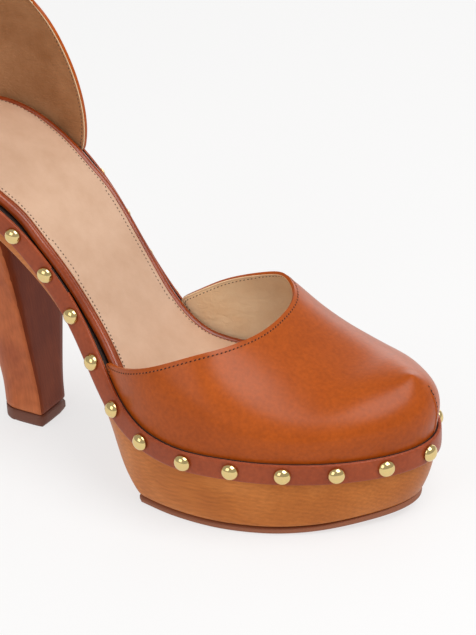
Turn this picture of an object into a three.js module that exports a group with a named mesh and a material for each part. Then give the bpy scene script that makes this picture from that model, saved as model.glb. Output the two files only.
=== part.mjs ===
import * as THREE from "three";
import { mergeVertices } from "three/addons/utils/BufferGeometryUtils.js";

// Platform pump with a wooden clog sole, right shoe, in millimetres.
// +X runs to the toe, +Y to the inner side of the foot, +Z up from the floor.
// The origin is the centre of the heel's flat bottom.

// Last and wooden sole
const soleLength = 217.4;
const ballWidth = 84.6;
const seatHeight = 123;
const platformHeight = 32.5;
const heelSetback = 40.7;
const toeSpring = 4.4;
const platformTaper = 5.4;
const treadStartShare = 0.56;
const springStartShare = 0.8;

// Heel block
const heelBottomLength = 21.6;
const heelBottomWidth = 17.4;
const heelLean = 3;
const heelOverhang = 1;
const topPieceHeight = 5;
const heelRounding = 1.15;

// Leather and board
const gap = 0.3;
const outsoleThickness = 2.6;
const outsoleInset = 0.3;
const bandWidth = 8.2;
const bandThickness = 1.4;
const bandGap = 0.45;
const bandRise = 1.5;
const footbedThickness = 3.9;
const footbedRim = 3.3;
const rimDrop = 0.9;
const openEdgeInset = 0.3;
const sockThickness = 0.8;
const upperInset = 0.2;
const upperLift = 0.6;

// Upper
const instepHeight = 51;
const vampWall = 1.6;
const toeRoll = 8;
const toeRollStartShare = 0.84;
const vampSwell = 2.4;
const counterWall = 1.6;
const counterFrontHeight = 52;
const counterBackHeight = 64;
const counterBulge = 2.6;
const counterTopLean = 3.5;
const counterSideDrop = 4;

// Studs
const studDiameter = 6.6;
const studRise = 2;
const studCount = 31;
const firstStudShare = 0.143;
const innerStudShare = 0.978;

// Wood edge at its top. at: share of soleLength from the heel end. outer and inner: how far the
// edge is from the centre line, as shares of ballWidth. lift: height above platformHeight, as a
// share of the way up to seatHeight. depth: wood below that edge, square to it, as a share of
// platformHeight, where values past the tread plane end on it. taper: how far the bottom edge
// sits inside the top edge, as a share of platformTaper.
const woodRows = [
  { at: 0, outer: 0.01, inner: 0.01, lift: 1, depth: 0.36, taper: 0.26 },
  { at: 0.03, outer: -0.176, inner: 0.196, lift: 1, depth: 0.37, taper: 0.26 },
  { at: 0.1, outer: -0.296, inner: 0.322, lift: 0.985, depth: 0.37, taper: 0.26 },
  { at: 0.2, outer: -0.328, inner: 0.37, lift: 0.865, depth: 0.37, taper: 0.26 },
  { at: 0.3, outer: -0.303, inner: 0.332, lift: 0.68, depth: 0.37, taper: 0.26 },
  { at: 0.4, outer: -0.3, inner: 0.288, lift: 0.372, depth: 0.28, taper: 0.26 },
  { at: 0.44, outer: -0.346, inner: 0.283, lift: 0.25, depth: 0.29, taper: 0.32 },
  { at: 0.5, outer: -0.44, inner: 0.294, lift: 0.107, depth: 0.49, taper: 0.85 },
  { at: 0.55, outer: -0.504, inner: 0.354, lift: 0.048, depth: 1, taper: 1 },
  { at: 0.62, outer: -0.546, inner: 0.438, lift: 0.013, depth: 1.2, taper: 0.9 },
  { at: 0.74, outer: -0.516, inner: 0.486, lift: 0, depth: 1.2, taper: 0.68 },
  { at: 0.86, outer: -0.386, inner: 0.446, lift: -0.01, depth: 1.2, taper: 0.66 },
  { at: 0.95, outer: -0.2, inner: 0.298, lift: -0.014, depth: 1.2, taper: 0.9 },
  { at: 1, outer: 0.062, inner: 0.062, lift: -0.014, depth: 1.2, taper: 1 },
];

// Sections of the vamp. at: share of soleLength. crown: height above the wood's edge, as a share
// of instepHeight. ridge: how far the crown sits towards the inner side, as a share of the half
// width. full: power of the section, 2 for an ellipse and more for squarer shoulders. swell:
// how far the wall bulges over its foot, as a share of vampSwell.
const vampRows = [
  { at: 0.4, crown: 1.42, ridge: 0.14, full: 2.2, swell: 0 },
  { at: 0.5, crown: 1.25, ridge: 0.16, full: 2.2, swell: 0.3 },
  { at: 0.6, crown: 1.03, ridge: 0.2, full: 2.3, swell: 0.6 },
  { at: 0.67, crown: 0.935, ridge: 0.2, full: 2.35, swell: 0.8 },
  { at: 0.72, crown: 0.728, ridge: 0.2, full: 2.4, swell: 0.9 },
  { at: 0.84, crown: 0.486, ridge: 0.1, full: 2.5, swell: 1 },
  { at: 0.93, crown: 0.487, ridge: 0.04, full: 2.6, swell: 1 },
  { at: 1, crown: 0.495, ridge: 0, full: 2.6, swell: 1 },
];

// Throat line of the vamp. turn: share of the way over the foot, from the outer to the inner side.
const throatRows = [
  { turn: 0, at: 0.448 },
  { turn: 0.045, at: 0.492 },
  { turn: 0.1, at: 0.5415 },
  { turn: 0.17, at: 0.602 },
  { turn: 0.26, at: 0.674 },
  { turn: 0.35, at: 0.7065 },
  { turn: 0.45, at: 0.7225 },
  { turn: 0.54, at: 0.7175 },
  { turn: 0.63, at: 0.698 },
  { turn: 0.74, at: 0.64 },
  { turn: 0.83, at: 0.568 },
  { turn: 0.91, at: 0.508 },
  { turn: 0.96, at: 0.475 },
  { turn: 1, at: 0.448 },
];

// Front edge of the heel counter. rise: share of the counter's height there. outer and inner: the
// edge's place on each side, as a share of soleLength, cut further back under the ankle bone on
// the outer side. lean: how far the wall comes in to the ankle, as a share of counterFrontHeight.
const counterRows = [
  { rise: 0, outer: 0.226, inner: 0.249, lean: 0 },
  { rise: 0.13, outer: 0.235, inner: 0.259, lean: -0.002 },
  { rise: 0.28, outer: 0.239, inner: 0.263, lean: 0.004 },
  { rise: 0.5, outer: 0.231, inner: 0.254, lean: 0.03 },
  { rise: 0.7, outer: 0.211, inner: 0.232, lean: 0.068 },
  { rise: 0.85, outer: 0.188, inner: 0.206, lean: 0.1 },
  { rise: 1, outer: 0.152, inner: 0.165, lean: 0.13 },
];

// Heel block by height. rise: share of the height from the tip to the seat. grow: share of the
// way from the bottom's outline to the seat's.
const heelRows = [
  { rise: 0, grow: 0 },
  { rise: 0.1, grow: 0.005 },
  { rise: 0.2, grow: 0.08 },
  { rise: 0.37, grow: 0.235 },
  { rise: 0.58, grow: 0.42 },
  { rise: 0.79, grow: 0.66 },
  { rise: 0.9, grow: 0.83 },
  { rise: 1, grow: 1 },
];

const sideSteps = 48;
const stepAngle = Math.PI / sideSteps;

// Smooth curve through one column of a table
function curveThrough(rows, column, keyName = "at", toKey = (value) => value) {
  const keys = rows.map((row) => toKey(row[keyName]));
  const values = rows.map((row) => row[column]);
  const last = keys.length - 1;
  const rate = (i) => (values[i + 1] - values[i]) / (keys[i + 1] - keys[i]);
  const slopes = keys.map((key, i) => {
    if (i === 0) return rate(0);
    if (i === last) return rate(last - 1);
    const before = key - keys[i - 1];
    const after = keys[i + 1] - key;
    return (rate(i - 1) * after + rate(i) * before) / (before + after);
  });
  return (value) => {
    const key = THREE.MathUtils.clamp(toKey(value), keys[0], keys[last]);
    let i = 0;
    while (i < last - 1 && key > keys[i + 1]) i += 1;
    const span = keys[i + 1] - keys[i];
    const t = (key - keys[i]) / span;
    const rest = 1 - t;
    return values[i] * rest * rest * (1 + 2 * t)
      + values[i + 1] * t * t * (1 + 2 * rest)
      + span * t * rest * (slopes[i] * rest - slopes[i + 1] * t);
  };
}

// The way round the outline is an angle, 0 at the heel end and PI at the toe tip
const angleOf = (at) => Math.acos(1 - 2 * at);
const shareOf = (angle) => (1 - Math.cos(angle)) / 2;
const outlineOf = {
  outer: curveThrough(woodRows, "outer", "at", angleOf),
  inner: curveThrough(woodRows, "inner", "at", angleOf),
};
const liftOf = curveThrough(woodRows, "lift");
const depthOf = curveThrough(woodRows, "depth");
const taperOf = curveThrough(woodRows, "taper");

const woodTaper = (at) => platformTaper * taperOf(at);
const edgeX = (at) => soleLength * at - heelSetback;
const edgeHeight = (at) => platformHeight + (seatHeight - platformHeight) * liftOf(at);

function edgeSlope(at) {
  const step = 0.004;
  const low = Math.max(0, at - step);
  const high = Math.min(1, at + step);
  return Math.atan((edgeHeight(high) - edgeHeight(low)) / (soleLength * (high - low)));
}

// A point beside the wood's top edge: out is level and away from the shoe, up is square to the
// edge line in the side view
function rim(angle, side, out = 0, up = 0) {
  const width = (turn) => outlineOf[side](shareOf(turn)) * ballWidth;
  const step = 0.01;
  const low = Math.max(0, angle - step);
  const high = Math.min(Math.PI, angle + step);
  const along = new THREE.Vector2(
    (soleLength / 2) * Math.sin(angle),
    (width(high) - width(low)) / (high - low),
  ).normalize();
  const handed = side === "outer" ? 1 : -1;
  const x = edgeX(shareOf(angle)) + handed * along.y * out;
  const at = THREE.MathUtils.clamp((x + heelSetback) / soleLength, 0, 1);
  const slope = edgeSlope(at);
  return new THREE.Vector3(
    x - Math.sin(slope) * up,
    width(angle) - handed * along.x * out,
    edgeHeight(at) + Math.cos(slope) * up,
  );
}

// A closed loop of points round the outline: outer side to the toe, inner side back to the heel
function loop(place) {
  const points = [];
  for (let i = 0; i <= sideSteps; i += 1) points.push(place(i * stepAngle, "outer"));
  for (let i = sideSteps - 1; i > 0; i -= 1) points.push(place(i * stepAngle, "inner"));
  return points;
}

const rimLoop = (out, up) => loop((angle, side) => {
  const outHere = typeof out === "function" ? out(shareOf(angle)) : out;
  return rim(angle, side, outHere, up);
});

// Triangles to one closed body whose faces point out
function closedGeometry(triangles) {
  const positions = new Float32Array(triangles.length * 9);
  triangles.flat().forEach((point, i) => point.toArray(positions, i * 3));
  const raw = new THREE.BufferGeometry();
  raw.setAttribute("position", new THREE.BufferAttribute(positions, 3));
  const geometry = mergeVertices(raw, 1e-3);
  const kept = [];
  const index = geometry.index.array;
  for (let i = 0; i < index.length; i += 3) {
    const [a, b, c] = [index[i], index[i + 1], index[i + 2]];
    if (a !== b && b !== c && c !== a) kept.push(a, b, c);
  }
  const place = geometry.attributes.position;
  const corner = (i) => new THREE.Vector3().fromBufferAttribute(place, i);
  let volume = 0;
  for (let i = 0; i < kept.length; i += 3) {
    volume += corner(kept[i]).dot(corner(kept[i + 1]).cross(corner(kept[i + 2])));
  }
  if (volume < 0) kept.reverse();
  geometry.setIndex(kept);
  geometry.computeVertexNormals();
  return geometry;
}

// Wall between two rows of points with the same count
function strip(first, second, round) {
  const triangles = [];
  const count = round ? first.length : first.length - 1;
  for (let i = 0; i < count; i += 1) {
    const j = (i + 1) % first.length;
    triangles.push([first[i], first[j], second[j]], [first[i], second[j], second[i]]);
  }
  return triangles;
}

// Lid over a loop made of two matching sides, as loop() gives it
function lid(points) {
  const triangles = [];
  const count = points.length;
  for (let i = 0; i < count / 2; i += 1) {
    const across = (count - i) % count;
    const next = count - i - 1;
    triangles.push([points[i], points[across], points[next]]);
    triangles.push([points[i], points[next], points[i + 1]]);
  }
  return triangles;
}

function stackedBody(loops) {
  const triangles = lid(loops[0]);
  for (let i = 1; i < loops.length; i += 1) triangles.push(...strip(loops[i - 1], loops[i], true));
  lid(loops[loops.length - 1]).forEach(([a, b, c]) => triangles.push([a, c, b]));
  return closedGeometry(triangles);
}

function hoopBody(loops) {
  const triangles = loops.flatMap((points, i) => strip(points, loops[(i + 1) % loops.length], true));
  return closedGeometry(triangles);
}

// A wall of even thickness: outer(u, v) gives its outside, rows of u across and v along
function shellBody(outer, thickness, uValues, vValues, seamEnd = false) {
  const normalAt = (u, v) => {
    const step = 1e-3;
    const [uLow, uHigh] = [Math.max(0, u - step), Math.min(1, u + step)];
    const [vLow, vHigh] = [Math.max(0, v - step), Math.min(1, v + step)];
    const alongU = outer(uHigh, v).sub(outer(uLow, v));
    const alongV = outer(u, vHigh).sub(outer(u, vLow));
    return alongV.cross(alongU).normalize();
  };
  const outside = vValues.map((v) => uValues.map((u) => outer(u, v)));
  const inside = vValues.map((v, row) => uValues.map((u, i) => {
    const isSeam = seamEnd && v === 1;
    const normal = isSeam ? normalAt(u, 0.999) : normalAt(u, v);
    if (isSeam) normal.add(normalAt(1 - u, 0.999));
    return outside[row][i].clone().addScaledVector(normal.normalize(), -thickness);
  }));
  const triangles = [];
  for (let row = 1; row < vValues.length; row += 1) {
    triangles.push(...strip(outside[row - 1], outside[row], false));
    triangles.push(...strip(inside[row], inside[row - 1], false));
  }
  const last = vValues.length - 1;
  triangles.push(...strip(inside[0], outside[0], false));
  if (!seamEnd) triangles.push(...strip(outside[last], inside[last], false));
  const column = (grid, i) => grid.map((row) => row[i]);
  const end = uValues.length - 1;
  triangles.push(...strip(column(outside, 0), column(inside, 0), false));
  triangles.push(...strip(column(inside, end), column(outside, end), false));
  return closedGeometry(triangles);
}

// The tread is flat up to springStartShare of the length and rises from there to the toe
const treadHeight = (at) => toeSpring * Math.max(0, (at - springStartShare) / (1 - springStartShare)) ** 1.6;

// Underside of the wood at its edge, ending on top of the outsole
function woodBottom(angle, side, taperShare = 1) {
  const at = shareOf(angle);
  const point = rim(angle, side, -woodTaper(at) * taperShare, -depthOf(at) * platformHeight);
  point.z = Math.max(point.z, treadHeight(at) + outsoleThickness + gap);
  return point;
}

function woodSole() {
  const bandDepth = bandWidth - bandRise + gap;
  const top = rimLoop(0, 0);
  const underBand = rimLoop(0, -bandDepth);
  const bottom = loop((angle, side) => woodBottom(angle, side));
  // The side is carved a little full: most of the taper comes low down
  const [bellyDrop, bellyFullness] = [0.6, 0.3];
  const bellied = bottom.map((point, i) => {
    const middle = underBand[i].clone().lerp(point, bellyDrop);
    const upright = new THREE.Vector3(underBand[i].x, underBand[i].y, middle.z);
    return middle.lerp(upright, bellyFullness);
  });
  return stackedBody([top, underBand, bellied, bottom]);
}

function outsole() {
  const startAngle = angleOf(treadStartShare);
  const place = (lift) => (angle, side) => {
    const clamped = THREE.MathUtils.lerp(startAngle, Math.PI, angle / Math.PI);
    const at = shareOf(clamped);
    const point = woodBottom(clamped, side, 1 + outsoleInset / woodTaper(at));
    point.z = treadHeight(at) + lift;
    return point;
  };
  const rows = (lift) => {
    const points = [];
    const steps = sideSteps / 2;
    for (let i = 0; i <= steps; i += 1) points.push(place(lift)((i * Math.PI) / steps, "outer"));
    for (let i = steps; i >= 0; i -= 1) points.push(place(lift)((i * Math.PI) / steps, "inner"));
    return points;
  };
  const [low, high] = [rows(0), rows(outsoleThickness)];
  const cap = (points) => {
    const triangles = [];
    const count = points.length;
    for (let i = 0; i + 1 < count / 2; i += 1) {
      const [a, b, c, d] = [points[i], points[i + 1], points[count - 2 - i], points[count - 1 - i]];
      triangles.push([a, c, b], [a, d, c]);
    }
    return triangles;
  };
  const flipped = cap(low).map(([a, b, c]) => [a, c, b]);
  return closedGeometry([...cap(high), ...flipped, ...strip(high, low, true)]);
}

// Heel: a flat breast, straight sides and a round back. The top follows the seat's outline.
const heelGrow = curveThrough(heelRows, "grow", "rise");
const backSteps = 16;

function heelBottomOutline() {
  const breast = heelBottomLength / 2;
  const half = heelBottomWidth / 2;
  const straight = heelBottomLength - half * heelRounding;
  const points = [new THREE.Vector2(breast, half)];
  for (let i = 0; i <= backSteps; i += 1) {
    const turn = (i * Math.PI) / backSteps;
    const x = breast - straight - (heelBottomLength - straight) * Math.sin(turn);
    points.push(new THREE.Vector2(x, half * Math.cos(turn)));
  }
  points.push(new THREE.Vector2(breast, -half));
  return points;
}

function seatEdge(angle, side) {
  const inward = heelOverhang / woodTaper(shareOf(angle));
  return woodBottom(angle, side, 1 + inward);
}

function heelSeatOutline() {
  const breast = heelBottomLength / 2 - heelLean;
  let breastAngle = 0;
  while (seatEdge(breastAngle, "outer").x < breast) breastAngle += 0.002;
  const points = [];
  for (let i = 0; i <= backSteps + 2; i += 1) {
    const turned = 1 - (2 * i) / (backSteps + 2);
    const side = turned > 0 ? "inner" : "outer";
    const point = seatEdge(Math.abs(turned) * breastAngle, side);
    if (i === 0 || i === backSteps + 2) point.x = breast;
    point.z -= gap * 1.5;
    points.push(point);
  }
  return points;
}

function heelBlock() {
  const foot = heelBottomOutline();
  const seat = heelSeatOutline();
  const low = topPieceHeight + gap;
  const loops = [0, 0.1, 0.2, 0.3, 0.45, 0.6, 0.75, 0.88, 1].map((rise) => seat.map((top, i) => {
    const bottom = new THREE.Vector3(foot[i].x, foot[i].y, low);
    const point = bottom.clone().lerp(top, heelGrow(rise));
    point.z = THREE.MathUtils.lerp(low, top.z, rise);
    const isBreast = i === 0 || i === seat.length - 1;
    if (isBreast) point.x = THREE.MathUtils.lerp(bottom.x, top.x, rise);
    return point;
  }));
  const last = loops.length - 1;
  const cross = (points) => {
    const triangles = [];
    const end = points.length - 1;
    for (let i = 0; i < end / 2; i += 1) {
      triangles.push([points[i], points[i + 1], points[end - i - 1]]);
      triangles.push([points[i], points[end - i - 1], points[end - i]]);
    }
    return triangles;
  };
  const triangles = cross(loops[0]).map(([a, b, c]) => [a, c, b]);
  for (let i = 1; i <= last; i += 1) triangles.push(...strip(loops[i - 1], loops[i], true));
  triangles.push(...cross(loops[last]));
  return closedGeometry(triangles);
}

function topPiece() {
  const shape = new THREE.Shape(heelBottomOutline().reverse());
  const geometry = new THREE.ExtrudeGeometry(shape, { depth: topPieceHeight, bevelEnabled: false });
  geometry.deleteAttribute("normal");
  geometry.deleteAttribute("uv");
  return mergeVertices(geometry, 1e-3);
}

// Where the footbed's edge lies: under the upper it makes room for the upper's wall
function footbedInset(at) {
  const covered = upperInset + Math.max(vampWall, counterWall) + gap;
  const backCover = 1 - THREE.MathUtils.smoothstep(at, 0.275, 0.3);
  const frontCover = THREE.MathUtils.smoothstep(at, 0.39, 0.425);
  return THREE.MathUtils.lerp(openEdgeInset, covered, Math.max(backCover, frontCover));
}

function footbed() {
  const profile = [
    [0.5, gap],
    [0, gap + 0.7],
    [0, footbedThickness - 1],
    [0.8, footbedThickness - 0.1],
    [footbedRim * 0.5, footbedThickness + gap * 0.5],
    [footbedRim * 0.85, footbedThickness - 0.2],
    [footbedRim, footbedThickness - rimDrop],
  ];
  return stackedBody(profile.map(([inward, up]) => rimLoop((at) => -footbedInset(at) - inward, up)));
}

function sock() {
  const bottom = footbedThickness - rimDrop + gap;
  const inward = footbedRim + gap;
  const profile = [[0, bottom], [0, bottom + sockThickness * 0.6], [0.4, bottom + sockThickness]];
  return stackedBody(profile.map(([more, up]) => {
    return rimLoop((at) => -footbedInset(at) - inward - more, up);
  }));
}

function band() {
  const inside = bandGap;
  const outside = bandGap + bandThickness;
  const top = bandRise;
  const bottom = bandRise - bandWidth;
  const soft = 0.4;
  return hoopBody([
    rimLoop(inside, bottom),
    rimLoop(inside, top),
    rimLoop(outside - soft, top),
    rimLoop(outside, top - soft),
    rimLoop(outside, bottom + soft),
    rimLoop(outside - soft, bottom),
  ]);
}

// Vamp: sections over the foot from the throat to the toe tip, where both sides meet in a dart
const crownOf = curveThrough(vampRows, "crown");
const ridgeOf = curveThrough(vampRows, "ridge");
const fullOf = curveThrough(vampRows, "full");
const swellOf = curveThrough(vampRows, "swell");
const throatOf = curveThrough(throatRows, "at", "turn");

function lastPoint(at, turn) {
  const angle = angleOf(at);
  const height = Math.min(1, Math.sin(turn * Math.PI) ** (2 / fullOf(at)));
  const swell = vampSwell * swellOf(at) * Math.sin(Math.PI * height) ** 1.5;
  const outer = rim(angle, "outer", swell - upperInset, upperLift);
  const inner = rim(angle, "inner", swell - upperInset, upperLift);
  const crown = outer.clone().lerp(inner, 0.5 + ridgeOf(at) / 2);
  const away = Math.abs(Math.cos(turn * Math.PI)) ** (2 / fullOf(at));
  const point = crown.lerp(turn < 0.5 ? outer : inner, away);
  const roll = THREE.MathUtils.smoothstep(at, toeRollStartShare, 1);
  point.x -= toeRoll * roll * (1 - Math.sqrt(1 - height ** 2));
  point.z += instepHeight * crownOf(at) * height;
  return point;
}

function vamp() {
  const acrossSteps = 24;
  const alongSteps = 22;
  const turns = Array.from({ length: acrossSteps + 1 }, (_, i) => i / acrossSteps);
  const shares = Array.from({ length: alongSteps + 1 }, (_, i) => i / alongSteps);
  const surface = (turn, share) => {
    const start = angleOf(throatOf(turn));
    return lastPoint(shareOf(THREE.MathUtils.lerp(start, Math.PI, share)), turn);
  };
  return shellBody(surface, vampWall, turns, shares, true);
}

// Heel counter: a wall round the heel that leans in above the ankle bone
const counterFrontAt = {
  outer: curveThrough(counterRows, "outer", "rise"),
  inner: curveThrough(counterRows, "inner", "rise"),
};
const counterLean = curveThrough(counterRows, "lean", "rise");
const topLineFullness = 4.5;
const bulgeEnd = 0.67;

function counterPoint(turn, rise) {
  const side = turn < 0.5 ? "outer" : "inner";
  const away = Math.abs(2 * turn - 1);
  const angle = away * angleOf(counterFrontAt[side](rise));
  const foot = rim(angle, side, 0, upperLift);
  const topAtSide = seatHeight + counterFrontHeight - counterSideDrop;
  const topAtBack = seatHeight + counterBackHeight;
  const top = THREE.MathUtils.lerp(topAtBack, topAtSide, away ** topLineFullness);
  const height = THREE.MathUtils.lerp(foot.z, top, rise);
  // At the back the wall swells over the heel bone and comes in above it
  const swell = counterBulge * Math.sin(Math.PI * Math.min(1, rise / bulgeEnd));
  const backward = swell - counterTopLean * rise ** 3;
  const inward = -counterLean(rise) * counterFrontHeight;
  const out = -upperInset + THREE.MathUtils.lerp(backward, inward, away ** 2);
  const placed = rim(angle, side, out, upperLift);
  placed.z = height;
  return placed;
}

function counter() {
  const acrossSteps = 26;
  const upSteps = 10;
  const turns = Array.from({ length: acrossSteps + 1 }, (_, i) => i / acrossSteps);
  const rises = Array.from({ length: upSteps + 1 }, (_, i) => i / upSteps);
  return shellBody(counterPoint, counterWall, turns, rises);
}

// Studs: flat-backed domes along the middle of the band
function studGeometry() {
  const radius = studDiameter / 2;
  const profile = [[0, 0], [radius, 0], [radius, studRise * 0.25], [radius * 0.82, studRise * 0.66]];
  profile.push([radius * 0.45, studRise * 0.93], [0, studRise]);
  const points = profile.map(([x, y]) => new THREE.Vector2(x, y));
  const lathe = new THREE.LatheGeometry(points, 10).rotateX(Math.PI / 2);
  const flat = lathe.toNonIndexed().attributes.position;
  const corner = (i) => new THREE.Vector3().fromBufferAttribute(flat, i);
  const triangles = [];
  for (let i = 0; i < flat.count; i += 3) triangles.push([corner(i), corner(i + 1), corner(i + 2)]);
  return closedGeometry(triangles);
}

function studPlaces() {
  const up = bandRise - bandWidth / 2;
  const out = bandGap + bandThickness;
  const fine = 400;
  const route = [];
  for (let i = 0; i <= fine; i += 1) route.push([(i * Math.PI) / fine, "outer"]);
  for (let i = fine - 1; i > 0; i -= 1) route.push([(i * Math.PI) / fine, "inner"]);
  const points = route.map(([angle, side]) => rim(angle, side, out, up));
  const lengths = points.map((point, i) => point.distanceTo(points[(i + 1) % points.length]));
  const total = lengths.reduce((sum, length) => sum + length, 0);
  const toeShare = lengths.slice(0, fine).reduce((sum, length) => sum + length, 0) / total;
  const places = [];
  for (let k = 0; k < studCount; k += 1) {
    // Past the toe the row starts later and its studs stand a little closer
    const pastToe = firstStudShare + k / studCount > toeShare;
    const run = pastToe ? 1 - (1 - k / studCount) * innerStudShare : k / studCount;
    let rest = ((firstStudShare + run) % 1) * total;
    let i = 0;
    while (rest > lengths[i]) {
      rest -= lengths[i];
      i += 1;
    }
    const [angle, side] = route[i];
    const foot = rim(angle, side, out, up);
    const turn = 0.01;
    const ahead = rim(Math.min(Math.PI, angle + turn), side, out, up);
    const along = ahead.sub(rim(Math.max(0, angle - turn), side, out, up));
    const upward = rim(angle, side, out, up + 1).sub(foot);
    const facing = along.clone().cross(upward).normalize();
    if (facing.dot(foot.clone().sub(rim(angle, side, 0, up))) < 0) facing.negate();
    // Where the band curves in, the flat back stands on the rise near its corners
    const cornerShare = 1.8;
    const reach = (turn * studDiameter) / along.length();
    const rises = [-reach, reach].flatMap((turned) => [-1, 1].map((way) => {
      const beside = rim(angle + turned, side, out, up + (way * studDiameter) / 3);
      return beside.sub(foot).dot(facing);
    }));
    foot.addScaledVector(facing, gap + cornerShare * Math.max(0, ...rises));
    places.push({ foot, facing });
  }
  return places;
}

const finishes = {
  honeyWood: new THREE.MeshStandardMaterial({ color: "#b8702f", roughness: 0.45 }),
  heelWood: new THREE.MeshStandardMaterial({ color: "#9c5536", roughness: 0.5 }),
  darkRubber: new THREE.MeshStandardMaterial({ color: "#4a2a1c", roughness: 0.7 }),
  bandLeather: new THREE.MeshStandardMaterial({ color: "#9c5038", roughness: 0.5 }),
  tanCalf: new THREE.MeshStandardMaterial({ color: "#b4592a", roughness: 0.35 }),
  beigeLining: new THREE.MeshStandardMaterial({ color: "#d4b090", roughness: 0.6 }),
  brass: new THREE.MeshStandardMaterial({ color: "#d9bd7a", roughness: 0.2, metalness: 1 }),
};

const shoe = new THREE.Group();

function addPiece(name, geometry, material) {
  const mesh = new THREE.Mesh(geometry, material);
  mesh.name = name;
  shoe.add(mesh);
  return mesh;
}

addPiece("wood_sole", woodSole(), finishes.honeyWood);
addPiece("heel_block", heelBlock(), finishes.heelWood);
addPiece("heel_top_piece", topPiece(), finishes.darkRubber);
addPiece("outsole", outsole(), finishes.darkRubber);
addPiece("rand_band", band(), finishes.bandLeather);
addPiece("footbed", footbed(), finishes.tanCalf);
addPiece("sock", sock(), finishes.beigeLining);
addPiece("vamp", vamp(), finishes.tanCalf);
addPiece("heel_counter", counter(), finishes.tanCalf);

const stud = studGeometry();
studPlaces().forEach(({ foot, facing }, i) => {
  const mesh = addPiece(`stud_${String(i + 1).padStart(2, "0")}`, stud, finishes.brass);
  mesh.position.copy(foot);
  mesh.quaternion.setFromUnitVectors(new THREE.Vector3(0, 0, 1), facing);
});

export default shoe;
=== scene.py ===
import math
import bpy
import bmesh
from mathutils import Matrix, Vector
from mathutils.bvhtree import BVHTree


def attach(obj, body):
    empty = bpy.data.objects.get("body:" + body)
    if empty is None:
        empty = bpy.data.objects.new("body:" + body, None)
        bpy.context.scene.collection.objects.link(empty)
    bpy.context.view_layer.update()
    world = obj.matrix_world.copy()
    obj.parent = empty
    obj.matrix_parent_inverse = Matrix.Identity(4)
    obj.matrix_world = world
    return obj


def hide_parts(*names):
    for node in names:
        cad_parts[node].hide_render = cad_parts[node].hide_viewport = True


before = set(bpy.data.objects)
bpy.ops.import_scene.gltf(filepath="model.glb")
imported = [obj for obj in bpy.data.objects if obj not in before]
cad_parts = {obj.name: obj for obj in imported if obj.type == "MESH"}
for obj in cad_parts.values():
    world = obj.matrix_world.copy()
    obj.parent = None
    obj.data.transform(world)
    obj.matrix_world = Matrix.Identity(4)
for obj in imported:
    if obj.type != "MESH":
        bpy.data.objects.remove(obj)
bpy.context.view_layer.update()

# Platform pump with a wooden clog sole, right shoe. +X to the toe, +Y to the inner side, +Z up.
mm = 0.001
scene = bpy.context.scene
scene.view_settings.view_transform = "Standard"


def toLinear(hexColour):
    parts = [int(hexColour[i:i + 2], 16) / 255 for i in (1, 3, 5)]
    return [p / 12.92 if p <= 0.04045 else ((p + 0.055) / 1.055) ** 2.4 for p in parts] + [1.0]


# Adds a node, fills its settings and sockets, and links the sources to it
def addNode(tree, kind, settings=None, links=None):
    node = tree.nodes.new(kind)
    for key, value in (settings or {}).items():
        if key == "stops":
            while len(node.color_ramp.elements) < len(value):
                node.color_ramp.elements.new(0.5)
            for element, (place, colour) in zip(node.color_ramp.elements, value):
                element.position = place
                element.color = colour
        elif isinstance(key, str) and hasattr(node, key):
            setattr(node, key, value)
        else:
            node.inputs[key].default_value = value
    for key, source in (links or {}).items():
        tree.links.new(source, node.inputs[key])
    return node


def startMaterial(name):
    material = bpy.data.materials.new(name)
    material.use_nodes = True
    tree = material.node_tree
    shader = tree.nodes["Principled BSDF"]
    return material, tree, shader


def grey(value):
    return (value, value, value, 1.0)


# A texture's scale, from the mm that one of its marks spans
def perMetre(across):
    return 1000.0 / across


# Camera, fitted to the shoe's outline
cameraView = {"place": (0.52955, -0.69874, 0.50013), "azimuth": 31.63, "elevation": 27.86,
              "roll": -2.59, "lens": 141.31}


def addCamera():
    azimuth = math.radians(cameraView["azimuth"])
    elevation = math.radians(cameraView["elevation"])
    roll = math.radians(cameraView["roll"])
    back = Vector((math.sin(azimuth) * math.cos(elevation),
                   -math.cos(azimuth) * math.cos(elevation), math.sin(elevation)))
    level = Vector((math.cos(azimuth), math.sin(azimuth), 0))
    upright = back.cross(level)
    right = math.cos(roll) * level + math.sin(roll) * upright
    up = back.cross(right)
    data = bpy.data.cameras.new("camera")
    data.sensor_width = 36
    data.lens = cameraView["lens"]
    data.clip_start = 50 * mm
    camera = bpy.data.objects.new("camera", data)
    turned = Matrix((right, up, back)).transposed().to_4x4()
    camera.matrix_world = Matrix.Translation(cameraView["place"]) @ turned
    scene.collection.objects.link(camera)
    scene.camera = camera


addCamera()
print("camera placed")


# Calf leather, aniline dyed and glazed: even cognac, a soft wax gloss over a dull fine grain.
# Clouds and pores in mm across.
calfLook = {"colour": "#ad4f10", "deep": "#a0460a", "roughness": 0.36, "specular": 0.13,
            "wax": 0.2, "waxRoughness": 0.3, "cloud": 33.333, "pore": 0.45}
# The band is dyed redder and glazed less
bandLook = {"colour": "#9c4622", "deep": "#903d1a", "roughness": 0.38, "specular": 0.22,
            "wax": 0.12, "waxRoughness": 0.25, "cloud": 16.667, "pore": 0.4}
# The wrap of the footbed is burnished, so it shines most
wrapLook = {"colour": "#983f12", "deep": "#84330a", "roughness": 0.36, "specular": 0.2,
            "wax": 0.5, "waxRoughness": 0.18, "cloud": 16.667, "pore": 0.35}
# A cut edge is raw: paler, dry and fibrous
rawLook = {"colour": "#a5553a", "deep": "#93482e", "roughness": 0.75, "specular": 0.2,
           "wax": 0.0, "waxRoughness": 0.5, "cloud": 2.0, "pore": 0.5}
calfGrain = {"across": 1.4286, "dull": 0.86, "bright": 1.08, "poreDepth": 0.06 * mm, "poreStrength": 0.12}


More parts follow.
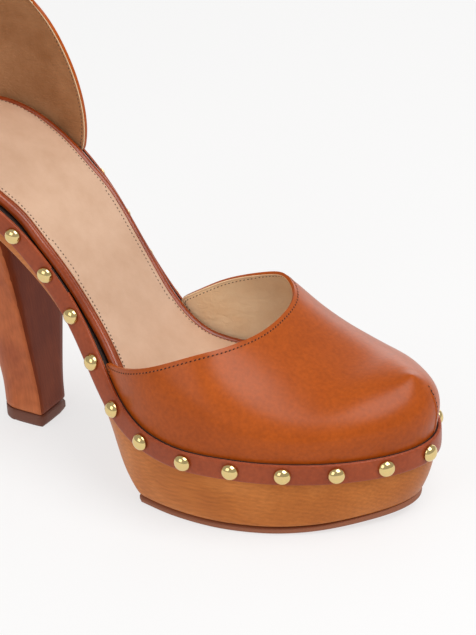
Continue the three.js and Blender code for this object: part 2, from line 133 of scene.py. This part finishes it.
def calfMaterial(name, look):
    material, tree, shader = startMaterial(name)
    place = addNode(tree, "ShaderNodeTexCoord").outputs["Object"]
    cloud = addNode(tree, "ShaderNodeTexNoise", {"Scale": perMetre(look["cloud"]), "Detail": 4.0,
                    "Roughness": 0.6}, {"Vector": place})
    tone = addNode(tree, "ShaderNodeValToRGB", {"stops": [(0.35, toLinear(look["deep"])),
                   (0.65, toLinear(look["colour"]))]}, {"Fac": cloud.outputs["Fac"]})
    grain = addNode(tree, "ShaderNodeTexNoise", {"Scale": perMetre(calfGrain["across"]), "Detail": 3.0},
                    {"Vector": place})
    soft = addNode(tree, "ShaderNodeMapRange", {"From Min": 0.3, "From Max": 0.7,
                   "To Min": calfGrain["dull"], "To Max": calfGrain["bright"]},
                   {"Value": grain.outputs["Fac"]})
    fine = addNode(tree, "ShaderNodeMix", {"data_type": "RGBA", "blend_type": "MULTIPLY", 0: 1.0},
                   {6: tone.outputs["Color"], 7: soft.outputs["Result"]})
    tree.links.new(fine.outputs[2], shader.inputs["Base Color"])
    pores = addNode(tree, "ShaderNodeTexVoronoi", {"Scale": perMetre(look["pore"])}, {"Vector": place})
    bump = addNode(tree, "ShaderNodeBump", {"Strength": calfGrain["poreStrength"],
                   "Distance": calfGrain["poreDepth"]}, {"Height": pores.outputs["Distance"]})
    tree.links.new(bump.outputs["Normal"], shader.inputs["Normal"])
    shader.inputs["Roughness"].default_value = look["roughness"]
    shader.inputs["IOR"].default_value = 1.5
    shader.inputs["Specular IOR Level"].default_value = look["specular"]
    shader.inputs["Coat Weight"].default_value = look["wax"]
    shader.inputs["Coat Roughness"].default_value = look["waxRoughness"]
    return material


tanCalf = calfMaterial("glazedCognacCalf", calfLook)
bandCalf = calfMaterial("redBrownBandCalf", bandLook)
rawEdge = calfMaterial("rawCutEdge", rawLook)
wrapCalf = calfMaterial("burnishedWrapCalf", wrapLook)

# Kid and suede linings, dry and unglazed: a clouded tone and short fine wrinkles, in mm across
liningLook = {"light": "#f4dab4", "dark": "#e6c398", "wrinkle": 0.5, "across": 2.2}
suedeLook = {"light": "#c29268", "dark": "#a6754c", "wrinkle": 0.5, "across": 1.0}
sockLook = {"light": "#d4af93", "dark": "#c7a083", "wrinkle": 0.08, "across": 0.9}
liningFinish = {"cloud": 16.667, "wrinkleDepth": 0.5 * mm, "roughness": 0.62, "specular": 0.3}


def liningMaterial(name, look):
    material, tree, shader = startMaterial(name)
    place = addNode(tree, "ShaderNodeTexCoord").outputs["Object"]
    cloud = addNode(tree, "ShaderNodeTexNoise", {"Scale": perMetre(liningFinish["cloud"]), "Detail": 8.0,
                    "Roughness": 0.65}, {"Vector": place})
    tone = addNode(tree, "ShaderNodeValToRGB", {"stops": [(0.32, toLinear(look["dark"])),
                   (0.68, toLinear(look["light"]))]}, {"Fac": cloud.outputs["Fac"]})
    tree.links.new(tone.outputs["Color"], shader.inputs["Base Color"])
    stretched = addNode(tree, "ShaderNodeMapping", {"Scale": (0.5, 1.0, 1.0), "Rotation": (0, 0.6, 0)},
                        {"Vector": place})
    lines = addNode(tree, "ShaderNodeTexNoise", {"Scale": perMetre(look["across"]), "Detail": 5.0,
                    "Distortion": 0.6}, {"Vector": stretched.outputs["Vector"]})
    bump = addNode(tree, "ShaderNodeBump", {"Strength": look["wrinkle"],
                   "Distance": liningFinish["wrinkleDepth"]}, {"Height": lines.outputs["Fac"]})
    tree.links.new(bump.outputs["Normal"], shader.inputs["Normal"])
    shader.inputs["Roughness"].default_value = liningFinish["roughness"]
    shader.inputs["Specular IOR Level"].default_value = liningFinish["specular"]
    return material


kidLining = liningMaterial("beigeKidLining", liningLook)
suedeLining = liningMaterial("brownSuedeLining", suedeLook)
sockKid = liningMaterial("pinkBeigeSockKid", sockLook)

speckLook = {"across": 1.1111, "strength": 0.15}


# One even colour with a faint speck
def plainMaterial(name, colour, roughness, metallic=0.0):
    material, tree, shader = startMaterial(name)
    place = addNode(tree, "ShaderNodeTexCoord").outputs["Object"]
    speck = addNode(tree, "ShaderNodeTexNoise", {"Scale": perMetre(speckLook["across"]), "Detail": 3.0},
                    {"Vector": place})
    shade = addNode(tree, "ShaderNodeMix", {"data_type": "RGBA", "blend_type": "MULTIPLY",
                    0: speckLook["strength"], 6: toLinear(colour)}, {7: speck.outputs["Color"]})
    tree.links.new(shade.outputs[2], shader.inputs["Base Color"])
    shader.inputs["Roughness"].default_value = roughness
    shader.inputs["Metallic"].default_value = metallic
    return material


tipRubber = plainMaterial("brownMouldedRubber", "#6e3a24", 0.55)  # matt, with a skin from the mould
treadRubber = plainMaterial("tanMouldedRubber", "#955636", 0.6)  # paler and duller than the tip
paleBrass = plainMaterial("polishedPaleBrass", "#e8cd8e", 0.12, 1.0)  # polished, mirrors the room
tonalThread = plainMaterial("waxedTonalThread", "#b25a20", 0.5)  # waxed: a low, even sheen
needleHole = plainMaterial("needleHole", "#3a1506", 0.9)  # shade inside a pierced hole
sockHole = plainMaterial("sockNeedleHole", "#6a5345", 0.9)  # the same in pale leather
darkMargin = plainMaterial("glueAndPaintedShadeMargin", "#2c150a", 0.8)  # dry glue with painted shade in a joint

# Lime wood under satin varnish: fine fibres, faint growth lines and a clouded tone.
# Growth lines in mm apart; the stretch draws the fibres out along the grain.
honeyLook = {"dark": "#ac6028", "mid": "#b96b2e", "light": "#c6783a", "line": 1.5,
             "tilt": (0.58, 0.12, 0.0), "stretch": (0.06, 1.0, 1.0), "roughness": 0.36}
heelLook = {"dark": "#a05230", "mid": "#b56238", "light": "#c57245", "line": 1.3,
            "tilt": (1.3, 0.1, 0.5), "stretch": (1.0, 1.0, 0.06), "roughness": 0.42}
# The heel's breast, the faces turned to the toe, is painted darker: painted shade under the arch
shadedBreastLook = {"dark": "#6f2f14", "mid": "#7e3819", "light": "#8a4322", "line": 1.3,
              "tilt": (1.3, 0.1, 0.5), "stretch": (1.0, 1.0, 0.06), "roughness": 0.42}
woodGrain = {"bandUnit": 0.314, "fibre": 0.9091, "cloud": 25.0, "fibreDark": 0.85, "fibreLight": 1.05,
             "lineDark": 0.94, "lineLight": 1.03, "fibreDepth": 0.1 * mm, "specular": 0.14}


def woodMaterial(name, look):
    material, tree, shader = startMaterial(name)
    place = addNode(tree, "ShaderNodeTexCoord").outputs["Object"]
    tilted = addNode(tree, "ShaderNodeMapping", {"Rotation": look["tilt"]}, {"Vector": place})
    # A wave's bands are 0.314 of a unit apart at a scale of 1
    growth = addNode(tree, "ShaderNodeTexWave", {"wave_type": "BANDS", "bands_direction": "Z",
                     "Scale": woodGrain["bandUnit"] * perMetre(look["line"]), "Distortion": 9.0,
                     "Detail": 3.0, "Detail Scale": 0.35, "Detail Roughness": 0.6},
                     {"Vector": tilted.outputs["Vector"]})
    along = addNode(tree, "ShaderNodeMapping", {"Scale": look["stretch"]}, {"Vector": place})
    fibre = addNode(tree, "ShaderNodeTexNoise", {"Scale": perMetre(woodGrain["fibre"]), "Detail": 4.0,
                    "Roughness": 0.65}, {"Vector": along.outputs["Vector"]})
    cloud = addNode(tree, "ShaderNodeTexNoise", {"Scale": perMetre(woodGrain["cloud"]), "Detail": 3.0},
                    {"Vector": place})
    tone = addNode(tree, "ShaderNodeValToRGB", {"stops": [(0.3, toLinear(look["dark"])),
                   (0.5, toLinear(look["mid"])), (0.7, toLinear(look["light"]))]},
                   {"Fac": cloud.outputs["Fac"]})
    streak = addNode(tree, "ShaderNodeMapRange", {"From Min": 0.3, "From Max": 0.62,
                     "To Min": woodGrain["fibreDark"], "To Max": woodGrain["fibreLight"]},
                     {"Value": fibre.outputs["Fac"]})
    ring = addNode(tree, "ShaderNodeMapRange", {"To Min": woodGrain["lineDark"],
                   "To Max": woodGrain["lineLight"]}, {"Value": growth.outputs["Fac"]})
    both = addNode(tree, "ShaderNodeMath", {"operation": "MULTIPLY"},
                   {0: streak.outputs["Result"], 1: ring.outputs["Result"]})
    mixed = addNode(tree, "ShaderNodeMix", {"data_type": "RGBA", "blend_type": "MULTIPLY", 0: 1.0},
                    {6: tone.outputs["Color"], 7: both.outputs["Value"]})
    tree.links.new(mixed.outputs[2], shader.inputs["Base Color"])
    bump = addNode(tree, "ShaderNodeBump", {"Strength": 0.1, "Distance": woodGrain["fibreDepth"]},
                   {"Height": fibre.outputs["Fac"]})
    tree.links.new(bump.outputs["Normal"], shader.inputs["Normal"])
    shader.inputs["Roughness"].default_value = look["roughness"]
    shader.inputs["Specular IOR Level"].default_value = woodGrain["specular"]
    return material


honeyWood = woodMaterial("varnishedHoneyLime", honeyLook)
heelWood = woodMaterial("varnishedRedLime", heelLook)
shadedBreastWood = woodMaterial("paintedShadeBreastLime", shadedBreastLook)
print("materials made")


# A copy of a solid's mesh, its triangles joined and its doubles merged
copyMerge = {"apart": 0.01 * mm, "shapeAngle": 70}


def mergedCopy(nodeName, pairAngle=40):
    bm = bmesh.new()
    bm.from_mesh(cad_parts[nodeName].data)
    bmesh.ops.remove_doubles(bm, verts=bm.verts, dist=copyMerge["apart"])
    bmesh.ops.join_triangles(bm, faces=bm.faces, angle_face_threshold=math.radians(pairAngle),
                             angle_shape_threshold=math.radians(copyMerge["shapeAngle"]))
    return bm


def setCreases(bm, sharpAngle, crease):
    layer = bm.edges.layers.float.get("crease_edge") or bm.edges.layers.float.new("crease_edge")
    for edge in bm.edges:
        if edge.is_manifold and edge.calc_face_angle() > math.radians(sharpAngle):
            edge[layer] = crease


def makePiece(name, bm, materials, nodeNames=()):
    mesh = bpy.data.meshes.new(name)
    bm.to_mesh(mesh)
    bm.free()
    for material in materials:
        mesh.materials.append(material)
    mesh.shade_smooth()
    piece = bpy.data.objects.new(name, mesh)
    scene.collection.objects.link(piece)
    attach(piece, "root")
    if nodeNames:
        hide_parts(*nodeNames)
    return piece


def smoothBy(piece, levels):
    finer = piece.modifiers.new("finer", "SUBSURF")
    finer.levels = levels
    finer.render_levels = levels


def applyModifiers(piece):
    bpy.context.view_layer.update()
    evaluated = piece.evaluated_get(bpy.context.evaluated_depsgraph_get())
    mesh = bpy.data.meshes.new_from_object(evaluated)
    piece.modifiers.clear()
    piece.data = mesh
    return mesh


# Each test in picks gives its faces the next material, before the mesh is made finer
def sculptedPiece(name, nodeName, materials, sharpAngle, crease, levels, picks=()):
    bm = mergedCopy(nodeName)
    setCreases(bm, sharpAngle, crease)
    for index, picked in enumerate(picks, 1):
        for face in bm.faces:
            if picked(face):
                face.material_index = index
    piece = makePiece(name, bm, materials, [nodeName])
    smoothBy(piece, levels)
    return piece


# Wood, rubber and the studded band. Faces are told apart by how far their normal leans a way.
facingLimits = {"up": 0.4, "straightUp": 0.85, "level": 0.6, "inward": 0.3, "toe": 0.6}
shoeMiddle = Vector((70 * mm, 0, 0))


def facesUp(face):
    return face.normal.z > facingLimits["up"]


def facesStraightUp(face):
    return face.normal.z > facingLimits["straightUp"]


def facesInward(face):
    inward = shoeMiddle - face.calc_center_median()
    inward.z = 0
    level = abs(face.normal.z) < facingLimits["level"]
    return level and face.normal.dot(inward.normalized()) > facingLimits["inward"]


def facesToe(face):
    return face.normal.x > facingLimits["toe"]


# The sole's top is dark with glue and painted shade, the heel's breast is darker with painted shade, the
# band's top edge is raw
sculptedPiece("carvedSole", "wood_sole", [honeyWood, darkMargin], 35, 0.9, 3, [facesUp])
# The faces of the heel turned to the toe take the darker wood: painted shade
sculptedPiece("carvedHeel", "heel_block", [heelWood, shadedBreastWood], 50, 0.85, 3, [facesToe])
sculptedPiece("heelTip", "heel_top_piece", [tipRubber], 50, 0.9, 2)
sculptedPiece("treadSole", "outsole", [treadRubber], 50, 0.85, 2)
# The band's inner faces take the dark margin too: painted shade in the groove
sculptedPiece("studdedBand", "rand_band", [bandCalf, rawEdge, darkMargin],
              60, 0.8, 2, [facesStraightUp, facesInward])
sculptedPiece("rolledFootbed", "footbed", [wrapCalf], 60, 0.6, 2)
sockPiece = sculptedPiece("insockLeather", "sock", [sockKid], 60, 0.7, 2)
print("sole and band made")


# Upper: a leather sheet from the outside of the solid wall, given its thickness and lining again.
# The outside is the largest run of faces that no sharp edge parts.
def outerPatch(bm, sharpAngle=55):
    left = set(bm.faces)
    patches = []
    while left:
        patch = [left.pop()]
        for face in patch:
            for edge in face.edges:
                if len(edge.link_faces) != 2 or edge.calc_face_angle() > math.radians(sharpAngle):
                    continue
                for other in edge.link_faces:
                    if other in left:
                        left.remove(other)
                        patch.append(other)
        patches.append(patch)
    return max(patches, key=lambda patch: sum(face.calc_area() for face in patch))


leatherThickness = 1.2 * mm
foldedEdge = {"radius": 0.38 * mm, "segments": 3, "angle": 50}
# Where the leather puckers on the toe's tip: a small hole is closed there and the leather smoothed
toePucker = {"at": Vector((170 * mm, 3 * mm, 57 * mm)), "reach": 9 * mm, "sides": 12, "rounds": 4}


def smoothPucker(bm):
    near = [vert for vert in bm.verts if (vert.co - toePucker["at"]).length < toePucker["reach"]]
    hole = [edge for edge in bm.edges if edge.is_boundary and edge.verts[0] in near]
    bmesh.ops.holes_fill(bm, edges=hole, sides=toePucker["sides"])
    tip = [vert for vert in near if not vert.is_boundary]
    for _ in range(toePucker["rounds"]):
        bmesh.ops.smooth_vert(bm, verts=tip, factor=0.5, use_axis_x=True, use_axis_y=True,
                              use_axis_z=True)


def leatherWall(name, nodeName, materials):
    bm = mergedCopy(nodeName, 60)
    kept = set(outerPatch(bm))
    bmesh.ops.delete(bm, geom=[face for face in bm.faces if face not in kept], context="FACES")
    smoothPucker(bm)
    piece = makePiece(name, bm, materials, [nodeName])
    smoothBy(piece, 2)
    sheet = applyModifiers(piece)
    surface = bmesh.new()
    surface.from_mesh(sheet)
    thicken = piece.modifiers.new("wall", "SOLIDIFY")
    thicken.thickness = leatherThickness
    thicken.offset = -1
    thicken.material_offset = 1
    thicken.material_offset_rim = 0
    thicken.use_even_offset = True
    rounded = piece.modifiers.new("rounded", "BEVEL")
    rounded.limit_method = "ANGLE"
    rounded.angle_limit = math.radians(foldedEdge["angle"])
    rounded.width = foldedEdge["radius"]
    rounded.segments = foldedEdge["segments"]
    return surface


vampSheet = leatherWall("vampLeather", "vamp", [tanCalf, kidLining])
counterSheet = leatherWall("counterLeather", "heel_counter", [tanCalf, suedeLining])
print("upper made", len(vampSheet.faces), len(counterSheet.faces))


# Edges of the upper. The edge on the wood lies within woodReach of it, the open edge lies away.
woodTree = BVHTree.FromBMesh(mergedCopy("wood_sole"))
woodReach = 0.95 * mm


def neighbours(edges):
    follow = {}
    for edge in edges:
        for vert in edge.verts:
            follow.setdefault(vert, []).append(edge.other_vert(vert))
    return follow


# The edge as one row of points from end to end
def sheetEdge(sheet, onWood=False):
    verts = {vert for edge in sheet.edges if edge.is_boundary for vert in edge.verts
             if (woodTree.find_nearest(vert.co)[3] < woodReach) == onWood}
    follow = neighbours([edge for edge in sheet.edges if edge.is_boundary
                         and (edge.verts[0] in verts or edge.verts[1] in verts)])
    start = min((vert for vert in follow if len(follow[vert]) == 1), key=lambda vert: vert.co.y)
    row = [start]
    while True:
        ahead = [vert for vert in follow[row[-1]] if vert not in row[-2:]]
        if not ahead:
            return [vert.co.copy() for vert in row]
        row.append(ahead[0])


# Points at one pitch along a row, each with the way that the row runs there
def evenPoints(row, pitch, closed=False):
    path = row + row[:1] if closed else row
    lengths = [(b - a).length for a, b in zip(path, path[1:])]
    count = max(1, round(sum(lengths) / pitch))
    step = sum(lengths) / count
    points = []
    reach, i = step / 2, 0
    for _ in range(count):
        while i < len(lengths) - 1 and reach > lengths[i]:
            reach -= lengths[i]
            i += 1
        along = (path[i + 1] - path[i]).normalized()
        points.append((path[i] + along * reach, along))
        reach += step
    return points


# Places of a seam that runs an inset in from the edge: foot, the way it faces and the way it runs
def seamPlaces(row, tree, inset, pitch, closed=False):
    places = []
    for point, along in evenPoints(row, pitch, closed):
        normal = tree.find_nearest(point)[1]
        inward = normal.cross(along).normalized() * inset
        way = 1
        if tree.find_nearest(point + inward)[3] > tree.find_nearest(point - inward)[3]:
            way = -1
        foot, facing, _, _ = tree.find_nearest(point + inward * way)
        places.append((foot, facing, along))
    return places


# One small grain laid at each place: long, wide and high in mm, turned off the row and sunk
def grainRow(name, places, grain, materials):
    bm = bmesh.new()
    bmesh.ops.create_uvsphere(bm, u_segments=8, v_segments=4, radius=0.5 * mm)
    size = Matrix.Diagonal((grain["long"], grain["wide"], grain["high"], 1))
    bmesh.ops.transform(bm, matrix=size, verts=bm.verts)
    one = bpy.data.meshes.new(name + "One")
    bm.to_mesh(one)
    bm.clear()
    for foot, facing, along in places:
        level = (along - facing * along.dot(facing)).normalized()
        side = facing.cross(level)
        turned = Matrix((level, side, facing)).transposed().to_4x4()
        place = (Matrix.Translation(foot + facing * grain["sunk"] * mm) @ turned
                 @ Matrix.Rotation(math.radians(grain["slant"]), 4, "Z"))
        one.transform(place)
        bm.from_mesh(one)
        one.transform(place.inverted())
    bpy.data.meshes.remove(one)
    return makePiece(name, bm, materials)


upperStitch = {"inset": 1.7 * mm, "pitch": 1.65 * mm}
threadGrain = {"long": 0.9, "wide": 0.4, "high": 0.34, "slant": 12, "sunk": 0.0}
holeGrain = {"long": 1.0, "wide": 0.55, "high": 0.14, "slant": 24, "sunk": 0.03}


# Threads outside and in, with a needle hole between each two outside
def stitchUpper(name, sheet):
    tree = BVHTree.FromBMesh(sheet)
    row = sheetEdge(sheet)
    places = seamPlaces(row, tree, upperStitch["inset"], upperStitch["pitch"])[1:-1]
    inside = [(foot - facing * leatherThickness, -facing, along) for foot, facing, along in places]
    grainRow(name + "Thread", places, threadGrain, [tonalThread])
    grainRow(name + "InnerThread", inside, threadGrain, [sockHole])
    half = upperStitch["pitch"] / 2
    holes = [(foot + along * half, facing, along) for foot, facing, along in places]
    grainRow(name + "Holes", holes, holeGrain, [needleHole])
    return row


vampEdge = stitchUpper("vamp", vampSheet)
counterEdge = stitchUpper("counter", counterSheet)
print("upper stitched", len(vampEdge), len(counterEdge))


# A round bead along a path, made as a curve and turned to mesh
def beadAlong(name, points, radius, materials):
    curve = bpy.data.curves.new(name, "CURVE")
    curve.dimensions = "3D"
    curve.bevel_depth = radius
    curve.bevel_resolution = 2
    curve.use_fill_caps = True
    spline = curve.splines.new("POLY")
    spline.points.add(len(points) - 1)
    for place, point in zip(spline.points, points):
        place.co = (*point, 1)
    drawn = bpy.data.objects.new(name + "Drawn", curve)
    bm = bmesh.new()
    bm.from_mesh(drawn.to_mesh())
    drawn.to_mesh_clear()
    bpy.data.objects.remove(drawn)
    bmesh.ops.remove_doubles(bm, verts=bm.verts, dist=0.001 * mm)
    bmesh.ops.recalc_face_normals(bm, faces=bm.faces)
    return makePiece(name, bm, materials)


# A dark bead fills the narrow joint between the vamp and the band: glue with painted shade
jointFill = {"up": 0.55 * mm, "out": 0.2 * mm, "radius": 0.3 * mm, "pitch": 1.5 * mm}


def fillJoint():
    tree = BVHTree.FromBMesh(vampSheet)
    points = []
    for point, _ in evenPoints(sheetEdge(vampSheet, True), jointFill["pitch"]):
        facing = tree.find_nearest(point)[1]
        points.append(point + facing * jointFill["out"] + Vector((0, 0, jointFill["up"])))
    beadAlong("vampJoint", points, jointFill["radius"], [darkMargin])


# The lining's cut edge shows as a pale line just inside the folded edge
liningEdge = {"inset": 0.4 * mm, "depth": 1.1 * mm, "radius": 0.32 * mm, "pitch": 0.8 * mm}


def edgeLining(name, sheet, row, material):
    tree = BVHTree.FromBMesh(sheet)
    places = seamPlaces(row, tree, liningEdge["inset"], liningEdge["pitch"])
    points = [foot - facing * liningEdge["depth"] for foot, facing, _ in places]
    beadAlong(name + "LiningEdge", points, liningEdge["radius"], [material])


fillJoint()
edgeLining("vamp", vampSheet, vampEdge, kidLining)
edgeLining("counter", counterSheet, counterEdge, kidLining)
print("joint and lining edges laid")

# Toe dart: the vamp is closed on the toe's tip by a stitched seam with one edge standing up.
# The ridge sinks into the leather over its last points, as a share of its own radius.
toeDart = {"across": 7.4 * mm, "low": 33.5 * mm, "high": 51.5 * mm, "steps": 26, "ahead": 300 * mm,
           "bead": 0.5 * mm, "sunk": 1.2, "rise": 0.95, "fade": 5,
           "cleft": 0.2 * mm, "cleftOff": 0.62 * mm, "cleftSunk": 0.1 * mm,
           "stitchOff": 1.2 * mm, "pitch": 1.7 * mm}


def sewToeDart():
    tree = BVHTree.FromBMesh(vampSheet)
    points = []
    facings = []
    for i in range(toeDart["steps"] + 1):
        height = toeDart["low"] + (toeDart["high"] - toeDart["low"]) * i / toeDart["steps"]
        start = Vector((toeDart["ahead"], toeDart["across"], height))
        hit, facing, _, _ = tree.ray_cast(start, Vector((-1, 0, 0)))
        if hit:
            points.append(hit)
            facings.append(facing)
    fade = [min(1, (len(points) - 1 - i) / toeDart["fade"]) for i in range(len(points))]
    ridge = [point - facing * toeDart["bead"] * (toeDart["sunk"] - toeDart["rise"] * rise)
             for point, facing, rise in zip(points, facings, fade)]
    beadAlong("toeDartRidge", ridge, toeDart["bead"], [tanCalf])
    # The cleft beside the ridge is a thin dark bead sunk in the leather: painted shade in the seam's
    # groove
    beside = Vector((0, toeDart["cleftOff"], 0))
    cleft = [point + beside - facing * toeDart["cleftSunk"] for point, facing in zip(points, facings)]
    beadAlong("toeDartCleftShade", cleft[:-2], toeDart["cleft"], [needleHole])
    seam = [point + Vector((0, toeDart["stitchOff"], 0)) for point in points]
    places = []
    for point, along in evenPoints(seam, toeDart["pitch"]):
        foot, facing, _, _ = tree.find_nearest(point)
        places.append((foot, facing, along))
    grainRow("toeDartThread", places, threadGrain, [tonalThread])
    holes = [(foot + along * toeDart["pitch"] / 2, facing, along) for foot, facing, along in places]
    grainRow("toeDartHoles", holes, holeGrain, [needleHole])
    print("toe dart sewn", len(places))


sewToeDart()


# Insock: a row of needle holes a little inside its edge
sockStitch = {"inset": 2.2 * mm, "pitch": 1.6 * mm, "topFaces": 0.2}
sockGrain = {"long": 0.8, "wide": 0.62, "high": 0.1, "slant": 0, "sunk": 0.02}


def stitchSock():
    bm = bmesh.new()
    bm.from_mesh(applyModifiers(sockPiece))
    under = [face for face in bm.faces if face.normal.z < sockStitch["topFaces"]]
    bmesh.ops.delete(bm, geom=under, context="FACES")
    tree = BVHTree.FromBMesh(bm)
    edges = [edge for edge in bm.edges if edge.is_boundary]
    follow = neighbours(edges)
    start = edges[0].verts[0]
    row = [start, follow[start][0]]
    while row[-1] != start and len(row) <= len(follow):
        row.append([vert for vert in follow[row[-1]] if vert != row[-2]][0])
    path = [vert.co.copy() for vert in row[:-1]]
    places = seamPlaces(path, tree, sockStitch["inset"], sockStitch["pitch"], True)
    grainRow("insockHoles", places, sockGrain, [sockHole])
    bm.free()
    print("insock stitched", len(places))


stitchSock()


# Studs: turned brass domes on the places of the solids' studs.
# The profile is the share of the radius and the share of the rise, from the crown to the rim.
studDome = {"radius": 3.3 * mm, "rise": 2.3 * mm, "steps": 32, "foot": 0.985,
            "profile": [(0, 1.0), (0.25, 0.972), (0.48, 0.885), (0.68, 0.735), (0.84, 0.52),
                        (0.95, 0.27), (1, 0.09)]}


# A stud's largest face is its flat back, and the dome faces away from it
def studPlace(node):
    bm = bmesh.new()
    bm.from_mesh(node.data)
    bmesh.ops.remove_doubles(bm, verts=bm.verts, dist=copyMerge["apart"])
    bmesh.ops.dissolve_limit(bm, angle_limit=math.radians(2), verts=bm.verts, edges=bm.edges)
    back = max(bm.faces, key=lambda face: face.calc_area())
    centre = back.calc_center_median()
    facing = -back.normal
    bm.free()
    return centre, facing


def studMesh():
    bm = bmesh.new()
    radius, rise = studDome["radius"], studDome["rise"]
    verts = [bm.verts.new((radius * share, 0, rise * height)) for share, height in studDome["profile"]]
    verts.append(bm.verts.new((radius * studDome["foot"], 0, 0)))
    edges = [bm.edges.new((a, b)) for a, b in zip(verts, verts[1:])]
    bmesh.ops.spin(bm, geom=verts + edges, axis=(0, 0, 1), cent=(0, 0, 0), angle=math.tau,
                   steps=studDome["steps"], use_merge=True)
    bmesh.ops.remove_doubles(bm, verts=bm.verts, dist=0.001 * mm)
    bmesh.ops.holes_fill(bm, edges=[edge for edge in bm.edges if edge.is_boundary], sides=0)
    bmesh.ops.recalc_face_normals(bm, faces=bm.faces)
    return bm


def addStuds():
    names = sorted(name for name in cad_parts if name.startswith("stud_"))
    for name in names:
        centre, facing = studPlace(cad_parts[name])
        bm = studMesh()
        turned = facing.to_track_quat("Z", "Y").to_matrix().to_4x4()
        bmesh.ops.transform(bm, matrix=Matrix.Translation(centre) @ turned, verts=bm.verts)
        makePiece("studHead_" + name[-2:], bm, [paleBrass], [name])
    print("studs made", len(names))


addStuds()


# Floor and light: a soft lamp high beyond the toe, a wide weak fill in front and a low one behind.
# The floor glows a little, as a lit backdrop does, and stays below full white.
floorLook = {"size": 8.0, "colour": "#8c8b8a", "roughness": 0.9, "specular": 0.1, "glow": 0.68}
lightPlan = [
    {"name": "overhead", "place": (0.7, -0.1, 1.1), "aim": (0.07, 0, 0.05),
     "size": (0.8, 0.8), "power": 10.5},
    {"name": "frontFill", "place": (-0.3, -1.7, 1.1), "aim": (0.07, 0, 0.05),
     "size": (1.2, 1.2), "power": 8.0},
    {"name": "backDrop", "place": (-0.25, 1.5, 0.32), "aim": (0.07, 0, 0.1),
     "size": (1.2, 0.5), "power": 3.6},
]
worldGlow = 0.48


def addFloor():
    bm = bmesh.new()
    bmesh.ops.create_grid(bm, x_segments=1, y_segments=1, size=floorLook["size"] / 2)
    mesh = bpy.data.meshes.new("floor")
    bm.to_mesh(mesh)
    bm.free()
    material, tree, shader = startMaterial("paleStudioFloor")
    shader.inputs["Base Color"].default_value = toLinear(floorLook["colour"])
    shader.inputs["Roughness"].default_value = floorLook["roughness"]
    shader.inputs["Specular IOR Level"].default_value = floorLook["specular"]
    shader.inputs["Emission Color"].default_value = grey(1.0)
    shader.inputs["Emission Strength"].default_value = floorLook["glow"]
    mesh.materials.append(material)
    floor = bpy.data.objects.new("floor", mesh)
    scene.collection.objects.link(floor)


def addLights():
    for plan in lightPlan:
        data = bpy.data.lights.new(plan["name"], "AREA")
        data.shape = "RECTANGLE"
        data.size, data.size_y = plan["size"]
        data.energy = plan["power"]
        lamp = bpy.data.objects.new(plan["name"], data)
        place = Vector(plan["place"])
        turned = (place - Vector(plan["aim"])).to_track_quat("Z", "Y").to_matrix().to_4x4()
        lamp.matrix_world = Matrix.Translation(place) @ turned
        scene.collection.objects.link(lamp)
    world = bpy.data.worlds.new("studio")
    world.use_nodes = True
    background = world.node_tree.nodes["Background"]
    background.inputs["Color"].default_value = grey(1.0)
    background.inputs["Strength"].default_value = worldGlow
    scene.world = world


addFloor()
addLights()
print("stage made")
